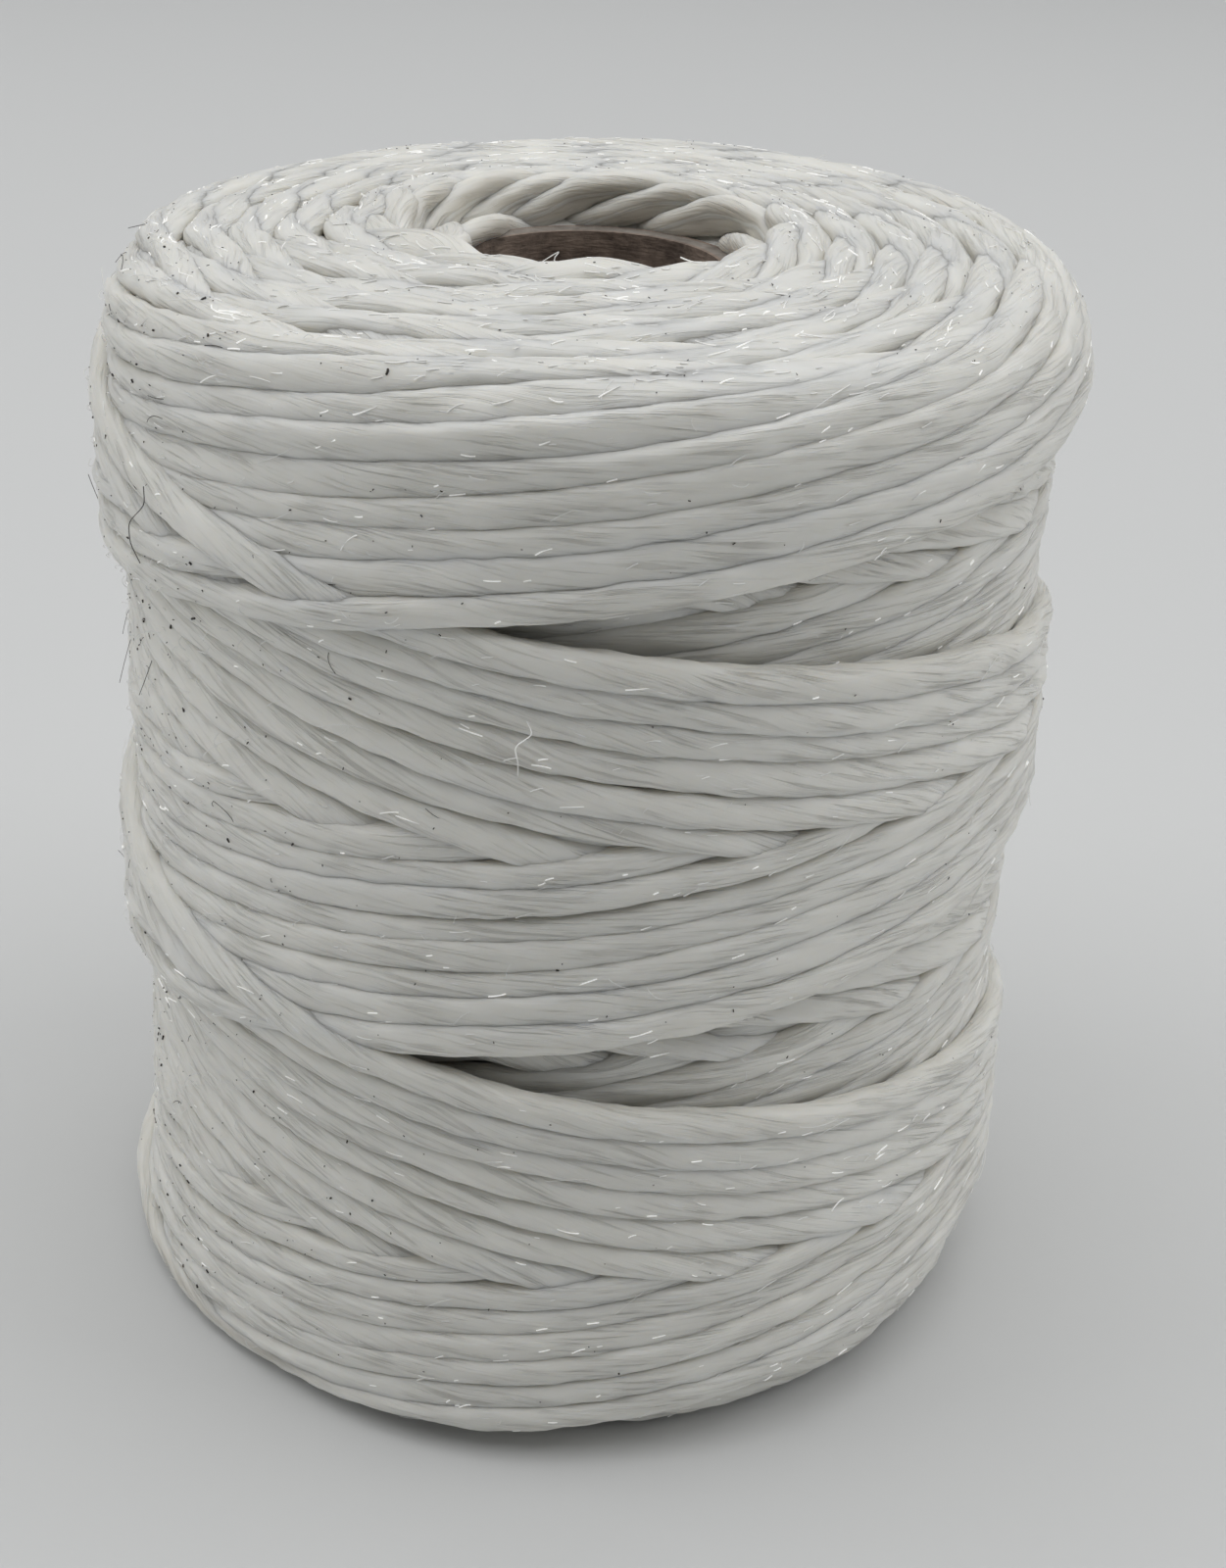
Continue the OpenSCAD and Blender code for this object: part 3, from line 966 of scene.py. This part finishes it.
in_view = np.concatenate([np.arange(a + CUT_END, b - CUT_END) for a, b in runs])
mid_foot = len(FOOT) // 2
on_top = in_view[own_top[in_view, mid_foot] >= final_top[in_view, mid_foot] - TOPMOST]
side_angle = np.degrees(np.arctan2(centre[on_top, 0], -centre[on_top, 1]))
face_top = in_view[(travel[in_view] > TRAVEL - FACE_ZONE) & (layer[in_view] > FACE_LAYER)]
dusty = np.exp(-((side_angle - DUSTY) / DUSTY_WIDTH) ** 2)
print(len(on_top), "places on the skin,", len(face_top), "on the upper face")

# %% [markdown]
# A fibre is six short steps. It starts somewhere across the strand, heads along the filaments with some
# spread, rises, bends back to the skin and curls sideways. Few numbers tell specks from hairs and fuzz:
# length, radius, how steeply they rise, and how much they turn and bend.

# %% Sow fibres
lint = np.random.default_rng(11)
FIBRE_STEPS = 6
SINK_BACK = 0.35      # share of the rise that each step takes back
DUSTY_ODDS = 12       # how much likelier a fibre starts on the dusty side
OFF_MIDDLE = 0.65     # how far from the strand's middle it may start, 1 is the edge


def fibres(name, count, length, radius, stand_off, aim, bend, share_left, mat, on_face=False):
    odds = 1 - share_left + share_left * DUSTY_ODDS * dusty
    roots = on_top[lint.choice(len(on_top), count, p=odds / odds.sum())]
    if on_face:
        roots = face_top[lint.choice(len(face_top), count)]
    up, side = normal[roots], np.cross(normal[roots], direction[roots])
    off = lint.uniform(-OFF_MIDDLE, OFF_MIDDLE, count)
    bulge = (1 - abs(off) ** SQUARENESS) ** (1 / SQUARENESS)
    place = centre[roots] + up * (0.5 * STRAND_T * tall[roots] * bulge + radius * 0.4)[:, None]
    place += side * (off * 0.5 * STRAND_W * wide[roots])[:, None]
    turned = lint.normal(0, math.radians(aim), count) - TWIST
    heading = direction[roots] * np.cos(turned)[:, None] + side * np.sin(turned)[:, None]
    rise = lint.uniform(*stand_off, count)
    size = length[0] * (length[1] / length[0]) ** lint.uniform(0, 1, count)
    curl = lint.normal(0, math.radians(bend), count)
    points, links = [], []
    for i in range(count):
        spot, ahead = place[i], heading[i] + up[i] * rise[i]
        pull = -up[i] * rise[i] * SINK_BACK
        cross_way = np.cross(up[i], ahead)
        for k in range(FIBRE_STEPS + 1):
            if k:
                links.append((len(points) - 1, len(points)))
            points.append(spot)
            spot = spot + ahead / np.linalg.norm(ahead) * size[i] / FIBRE_STEPS
            ahead = ahead + pull + cross_way * curl[i] / FIBRE_STEPS
    hairs_object(name, points, links, radius, mat)


print("fibres of", FIBRE_STEPS, "steps")

# %% [markdown]
# Lint is nearly black, loose filaments are clear white. A bare filament flashes where it mirrors a lamp.
# The flash is too fine to be found by a soft light, so glinting filaments glow a little instead, some
# more than others.

# %% Materials: lint, loose filaments and glints
FILAMENT_WHITE = (0.92, 0.92, 0.90, 1.0)

lint_mat, lint_tree = material("dark_lint")
surface(lint_tree, {"Base Color": (0.035, 0.03, 0.025, 1.0), "Roughness": 0.7})
loose_mat, loose_tree = material("loose_filament_white")
surface(loose_tree, {"Base Color": FILAMENT_WHITE, "Roughness": 0.2})
glint_mat, gt = material("filament_glint")
flash = map_range(gt, noise(gt, object_place(gt), 260.0, 1.0), 0.42, 0.66, 0.0, 0.38)
surface(gt, {"Base Color": FILAMENT_WHITE, "Roughness": 0.2, "Emission Color": (1.0, 1.0, 0.98, 1.0),
             "Emission Strength": flash})
print("fibre materials:", [mat.name for mat in (lint_mat, loose_mat, glint_mat)])

# %% [markdown]
# Each kind gets a row: how many, shortest and longest in mm, radius in mm, least and most rise, spread
# and bend in degrees, the share that gathers on the dusty side, and the material.

# %% Lint, glints and fuzz
fibres("lint_specks", 620, (0.05, 0.22), 0.040, (0.0, 0.1), 90, 20, 0.40, lint_mat)
fibres("lint_on_face", 300, (0.05, 0.22), 0.034, (0.0, 0.1), 90, 20, 0.0, lint_mat, on_face=True)
fibres("lint_clumps", 90, (0.12, 0.45), 0.075, (0.0, 0.2), 90, 60, 0.75, lint_mat)
fibres("lint_hairs", 60, (0.4, 4.0), 0.024, (0.0, 0.15), 60, 150, 0.85, lint_mat)
fibres("glinting_filaments", 1500, (0.3, 1.7), 0.048, (0.0, 0.05), 10, 20, 0.0, glint_mat)
fibres("glints_on_face", 1400, (0.3, 1.7), 0.048, (0.0, 0.08), 12, 30, 0.0, glint_mat, on_face=True)
fibres("loose_filaments", 300, (1.0, 5.0), 0.026, (0.05, 0.30), 16, 45, 0.15, loose_mat)
fibres("fuzz", 700, (0.35, 1.6), 0.024, (0.5, 2.0), 60, 90, 0.5, loose_mat)

# %% [markdown]
# A few strays stand out on their own: a dark hair, a bright filament on the side that glows with the glint
# material as a painted glint, one across the mouth and one on the upper rim. Each is drawn through a
# handful of corners and then rounded.

# %% Strays that stand out on their own
MM_PER_DEGREE, NEARBY = 0.6, 3    # along the side, and how far the skin is searched, mm


def on_skin(points):
    """Places on the side from (degrees round from the front, height, mm above the skin)."""
    places = []
    for degrees, z, above in points:
        away = (side_angle - degrees) * MM_PER_DEGREE
        near = away ** 2 + (centre[on_top, 2] - z) ** 2 < NEARBY ** 2
        r = np.hypot(centre[on_top[near], 0], centre[on_top[near], 1]).max() + 0.5 * STRAND_T + above
        a = math.radians(degrees)
        places.append((math.sin(a) * r, -math.cos(a) * r, z))
    return places


def bent_hair(name, corners, radius, mat, steps_between=6):
    """One hair through these corners, rounded by averaging."""
    corners = np.array(corners)
    at = np.linspace(0, len(corners) - 1, (len(corners) - 1) * steps_between + 1)
    line = np.stack([smooth(np.interp(at, range(len(corners)), corners[:, k]), 1.2) for k in range(3)], 1)
    hairs_object(name, line, [(i, i + 1) for i in range(len(line) - 1)], radius, mat)


bent_hair("dark_hair", on_skin([(-51.6, 71.4, 0.1), (-50.8, 70.2, 0.3), (-54.8, 68.2, 0.3),
                                (-55.2, 66.6, 0.2), (-53.4, 65.4, 0.0)]), 0.032, lint_mat)
bent_hair("stray_on_side", on_skin([(-4.2, 61.8, 0.1), (-3.4, 61.0, 0.5), (-5.3, 60.0, 0.7),
                                    (-4.9, 58.8, 0.6), (-5.0, 57.6, 0.2)]), 0.045, glint_mat)
bent_hair("stray_in_mouth", [(-3.4, -12.2, 84.1), (-1.6, -11.6, 85.2), (-2.7, -12.3, 84.3),
                             (-1.2, -12.4, 84.3)], 0.040, loose_mat, 3)
bent_hair("stray_on_rim", [(-14.0, -8.6, 84.6), (-12.8, -9.0, 85.0), (-12.2, -9.8, 84.6),
                           (-10.8, -10.0, 84.7)], 0.034, loose_mat)

# %% [markdown]
# ## The body under the last layers
#
# Below the strands that show lies a closed body, so that no gap looks through the package. It is the
# same pile, stopped one layer earlier and set a little lower, with end faces just under the turns. Its
# rows of points run from the wall of the lower mouth over the base, the side and the upper face to the
# wall of the upper mouth. Its material is the same white in the shade, without marks.

# %% Rows of the body
BODY_DROP = 0.1      # mm below the pile that was kept
BODY_ANGLES, BODY_ROWS, FACE_ROWS = 240, 81, 16
FACE_TRAVEL = TRAVEL - 1.6        # the end faces lie this far out, under the turns, mm on the map
FACE_START, FACE_GAP = 17.2, 0.4  # inner radius of a face, and its distance from the side
WALLS = (CORE_R + 0.06, -0.5), (12.6, 0.1), (14.4, 1.2)   # radius, and height above the core's rim

body_cells = np.arange(BODY_ANGLES) * TURN // BODY_ANGLES
body_angle = body_cells * (2 * math.pi / TURN)
body_travel = np.linspace(-FACE_TRAVEL, FACE_TRAVEL, BODY_ROWS)
body_columns = COLUMNS // 2 + np.round(body_travel / COLUMN).astype(int)
side_r = CORE_R - BODY_DROP + STRETCH * body_pile[body_cells[:, None], body_columns] / packing(body_travel)
side_r = side_r.mean() + SETTLE * (side_r - side_r.mean())
face_r = np.linspace(FACE_START, side_r[:, [0, -1]].min() - FACE_GAP, FACE_ROWS)


def body_row(travel_mm, shell):
    shell = np.broadcast_to(shell, BODY_ANGLES)
    layers = (shell - CORE_R - FIRST_MM) / LAYER_MM
    return on_spool(body_angle, np.full(BODY_ANGLES, travel_mm), shell, layers, MOUTH_STEPS[1])[0]


def wall_row(r, z):
    return np.stack([np.sin(body_angle) * r, -np.cos(body_angle) * r, z + 0 * body_angle], -1)


rows = [wall_row(r, CORE_LOW - rise) for r, rise in WALLS]
rows += [body_row(-FACE_TRAVEL, r) for r in face_r]
rows += [body_row(body_travel[i], side_r[:, i]) for i in range(BODY_ROWS)]
rows += [body_row(FACE_TRAVEL, r) for r in face_r[::-1]]
rows += [wall_row(r, CORE_HIGH + rise) for r, rise in WALLS[::-1]]
print(len(rows), "rows, side radius", side_r.min().round(1), "to", side_r.max().round(1), "mm")

# %% [markdown]
# The rows are joined by four-sided faces, and the last row to the first, which closes the body. Its signed
# volume tells whether the faces point outwards.

# %% Mesh of the body
body_mat, bt = material("inner_thread_white")
body_noise = noise(bt, object_place(bt), 700.0, 4.0)
surface(bt, {"Base Color": mix_colour(bt, body_noise, (0.68, 0.67, 0.63, 1.0), (0.82, 0.81, 0.77, 1.0)),
             "Roughness": 0.6,
             "Normal": put(bt, "ShaderNodeBump", {"Height": body_noise, "Distance": 0.2 * MM})})

faces = []
for i in range(len(rows)):
    here, above = i * BODY_ANGLES, (i + 1) % len(rows) * BODY_ANGLES
    for j in range(BODY_ANGLES):
        beside = (j + 1) % BODY_ANGLES
        faces.append((here + j, here + beside, above + beside, above + j))
mesh = bpy.data.meshes.new("thread_body")
mesh.from_pydata((np.array(rows) * MM).reshape(-1, 3).tolist(), [], faces)
mesh.shade_smooth()
mesh.materials.append(body_mat)
body = add_object("thread_body", mesh)
bm = bmesh.new()
bm.from_mesh(mesh)
if bm.calc_volume(signed=True) < 0:
    bmesh.ops.reverse_faces(bm, faces=bm.faces)
    bm.to_mesh(mesh)
bm.free()
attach(body, "root")
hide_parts("thread_inner_layers")
print("thread_body:", len(mesh.polygons), "faces")

# %% [markdown]
# ## The paper core
#
# The core is a wound paper tube: a dark liner inside, grey board plies, and a cover. Its shape is right
# as measured, so these nodes stay and only get finer materials. Paper is fibre and small blotches: one
# slow noise for the blotches, one fine noise stretched round the tube for the fibres.

# %% Core materials
def paper(name, dark, light):
    mat, tree = material(name)
    spot = object_place(tree)
    blotch = noise(tree, spot, 420.0, 5.0, 0.65)
    squeezed = put(tree, "ShaderNodeMapping", {"Vector": spot, "Scale": (0.35, 0.35, 1.4)})
    pulp = noise(tree, squeezed, 2600.0, 3.0)
    tone = mix_colour(tree, ramp(tree, blotch, (0.35, 0.0), (0.65, 1.0)), dark, light)
    tone = mix_colour(tree, 0.35, tone, pulp, "OVERLAY")
    relief = add(tree, times(tree, blotch, 0.7), times(tree, pulp, 0.5))
    surface(tree, {"Base Color": tone, "Roughness": 0.8, "Normal": put(
        tree, "ShaderNodeBump", {"Height": relief, "Distance": 0.25 * MM, "Strength": 0.8})})
    return mat


liner_mat = paper("core_paper_dark", (0.12, 0.09, 0.072, 1), (0.34, 0.265, 0.215, 1))
board_mat = paper("core_board_grey", (0.16, 0.14, 0.12, 1), (0.30, 0.27, 0.24, 1))
for name, node in frame["nodes"].items():
    if name.startswith("core_"):
        mat = board_mat if "board" in name else liner_mat
        if not node.material_slots:
            node.data.materials.append(mat)
        for place in node.material_slots:
            place.material = mat
print("core nodes kept with new materials")

# %% [markdown]
# ## Floor and light
#
# A pale matt floor runs far back and curves up into a wall, so that no edge shows.

# %% Floor and backdrop
FLOOR_GREY = (0.66, 0.668, 0.668, 1.0)
FLOOR_FRONT, FLOOR_BACK, WALL_TOP, HALF_FLOOR = -1.5, 1.2, 2.2, 2.0    # metres
BEND_R, BEND_STEPS = 0.5, 12      # metres, and the faces of the bend

floor_mat, ft = material("floor_paper")
grain = noise(ft, object_place(ft), 900.0, 3.0)
surface(ft, {"Base Color": FLOOR_GREY, "Roughness": 0.75, "Specular IOR Level": 0.25, "Normal": put(
    ft, "ShaderNodeBump", {"Height": grain, "Distance": 0.05 * MM, "Strength": 0.3})})

profile = [(FLOOR_FRONT, 0.0), (0.0, 0.0), (FLOOR_BACK, 0.0)]
profile += [(FLOOR_BACK + BEND_R * math.sin(a), BEND_R * (1 - math.cos(a)))
            for a in np.linspace(0, math.pi / 2, BEND_STEPS + 1)[1:]]
profile += [(FLOOR_BACK + BEND_R, WALL_TOP)]
mesh = bpy.data.meshes.new("floor")
mesh.from_pydata([(side * HALF_FLOOR, y, z) for y, z in profile for side in (-1, 1)], [],
                 [(2 * i, 2 * i + 1, 2 * i + 3, 2 * i + 2) for i in range(len(profile) - 1)])
mesh.shade_smooth()
mesh.materials.append(floor_mat)
floor = add_object("floor", mesh)
print("floor and wall:", len(mesh.polygons), "faces")

# %% [markdown]
# Light comes from a wide panel above and from two smaller ones low at the sides, and a dim white room
# fills the rest. No lamp stands in front, so the middle of the side is darker than its edges, which
# shows how round it is.

# %% Lights
def panel(name, place, aim, size, power):
    data = bpy.data.lights.new(name, "AREA")
    data.shape, data.size, data.size_y, data.energy = "RECTANGLE", size[0], size[1], power
    obj = add_object(name, data)
    obj.location = place
    obj.rotation_euler = (Vector(aim) - Vector(place)).to_track_quat("-Z", "Y").to_euler()


panel("light_top", (0.0, 0.05, 1.3), (0, 0, 0.05), (1.9, 1.7), 16.2)
panel("light_left", (-1.1, 0.0, 0.55), (0, 0, 0.04), (0.9, 0.8), 3.5)
panel("light_right", (1.1, 0.0, 0.55), (0, 0, 0.04), (0.9, 0.8), 3.8)
world = bpy.data.worlds.new("room")
bpy.context.scene.world = world
world.use_nodes = True
room = world.node_tree.nodes["Background"]
room.inputs["Color"].default_value = (1.0, 1.0, 1.0, 1.0)
room.inputs["Strength"].default_value = 0.10
print("stage set")
